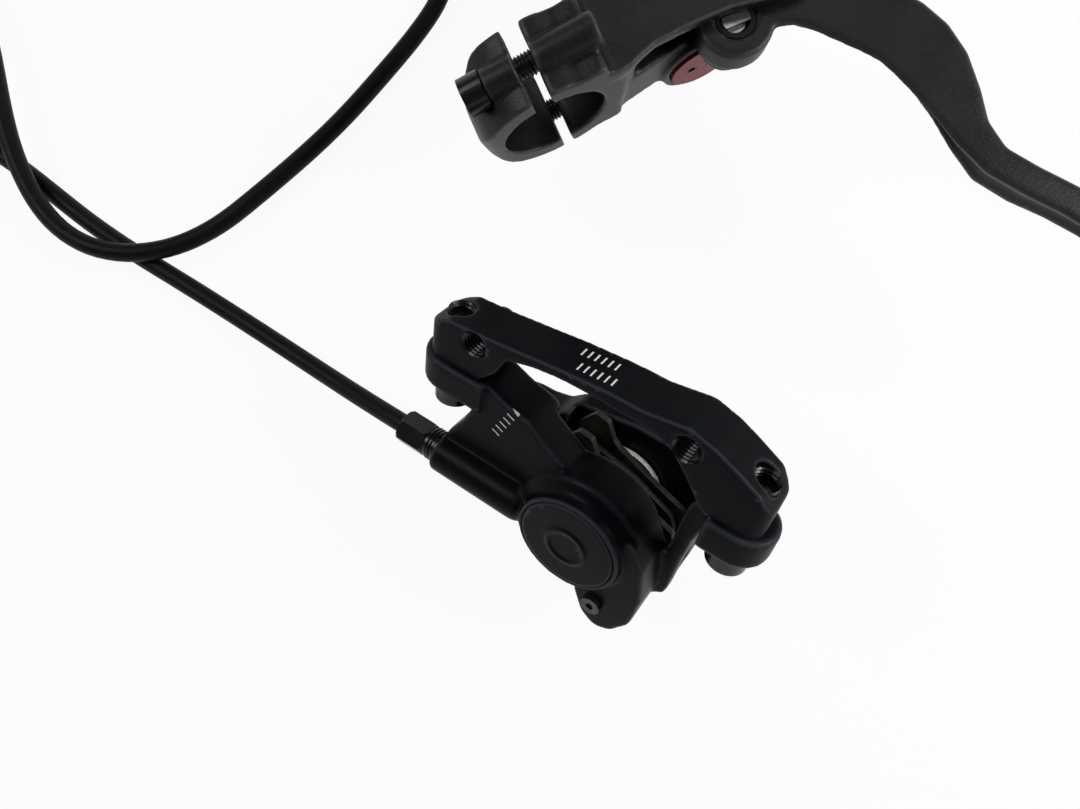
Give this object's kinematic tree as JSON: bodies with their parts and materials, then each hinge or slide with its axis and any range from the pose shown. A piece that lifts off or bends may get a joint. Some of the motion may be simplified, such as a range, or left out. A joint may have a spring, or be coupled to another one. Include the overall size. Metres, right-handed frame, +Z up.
{
  "type": "hydraulic disc brake",
  "caption": "Bicycle hydraulic disc brake: handlebar lever with master cylinder, flexible hose, and two-piston caliper on a fork bracket.",
  "frame": {"origin": "centre of the handlebar clamp's bore, at the middle of its width", "axes": "+X forward, away from the rider; +Y inboard along the handlebar; +Z up, towards the side the picture shows"},
  "size_m": [0.297, 0.2569, 0.0728],
  "materials": {
    "lever_casting": "matte dark grey paint with fine speckle",
    "black_steel": "black oxide",
    "bright_steel": "bare, satin",
    "spring_steel": "bare",
    "black_plastic": "matte",
    "red_anodised": "anodised red",
    "seal_rubber": "soft black",
    "piston_metal": "machined",
    "olive_brass": "machined",
    "hose_black": "satin black nylon jacket",
    "caliper_paint": "gloss black",
    "pad_plate": "plated olive brown",
    "pad_lining": "sintered, rough"
  },
  "bodies": {
    "brake": {"lever_body": "lever_casting", "clamp_cap": "lever_casting", "clamp_bolts": "black_steel", "pivot_pin": "bright_steel", "cylinder_plug": "red_anodised", "plug_seal": "seal_rubber", "return_spring": "bright_steel", "reservoir_diaphragm": "seal_rubber", "reservoir_cover": "black_plastic", "cover_screws": "black_steel", "lever_bleed_screw": "black_steel", "lever_hose_nut": "black_steel", "lever_hose_olive": "olive_brass", "hose_upper_run": "hose_black", "hose_coil": "hose_black", "hose_lower_run": "hose_black", "caliper_hose_nut": "black_steel", "caliper_hose_olive": "olive_brass", "caliper_body": "caliper_paint", "cylinder_cap": "caliper_paint", "cap_seal": "seal_rubber", "near_piston_seal": "seal_rubber", "far_piston_seal": "seal_rubber", "pad_spring": "spring_steel", "pad_pin": "bright_steel", "pin_clip": "bright_steel", "caliper_bleed_screw": "black_steel", "mount_bracket": "caliper_paint", "mount_bolts": "black_steel", "mount_washers": "black_steel"},
    "blade": {"lever_blade": "lever_casting", "pivot_bush": "black_plastic"},
    "master_piston": {"master_piston": "piston_metal", "piston_seals": "seal_rubber"},
    "near_pad": {"near_piston": "piston_metal", "near_pad_plate": "pad_plate", "near_pad_lining": "pad_lining"},
    "far_pad": {"far_piston": "piston_metal", "far_pad_plate": "pad_plate", "far_pad_lining": "pad_lining"}
  },
  "joints": [
    {"name": "lever_pivot", "type": "hinge", "parent": "brake", "child": "blade", "pos_m": [0.0428, -0.0067, 0.006], "axis": [0, 0, -1], "range_deg": [0, 22], "stiffness_Nm_per_rad": 0.6, "springref_deg": -8.59},
    {"name": "master_piston_slide", "type": "slide", "parent": "brake", "child": "master_piston", "axis": [0, 1, 0], "range_m": [0, 0.002], "deforming": ["return_spring"]},
    {"name": "near_pad_slide", "type": "slide", "parent": "brake", "child": "near_pad", "axis": [0.7391, 0.2993, -0.6034], "range_m": [0, 0.0004]},
    {"name": "far_pad_slide", "type": "slide", "parent": "brake", "child": "far_pad", "axis": [-0.7391, -0.2993, 0.6034], "range_m": [0, 0.0004]}
  ],
  "couplings": [
    {"joint": "master_piston_slide", "follows": "lever_pivot", "m_per_rad": 0.0052},
    {"joint": "near_pad_slide", "follows": "lever_pivot", "m_per_rad": 0.00104},
    {"joint": "far_pad_slide", "follows": "lever_pivot", "m_per_rad": 0.00104}
  ]
}
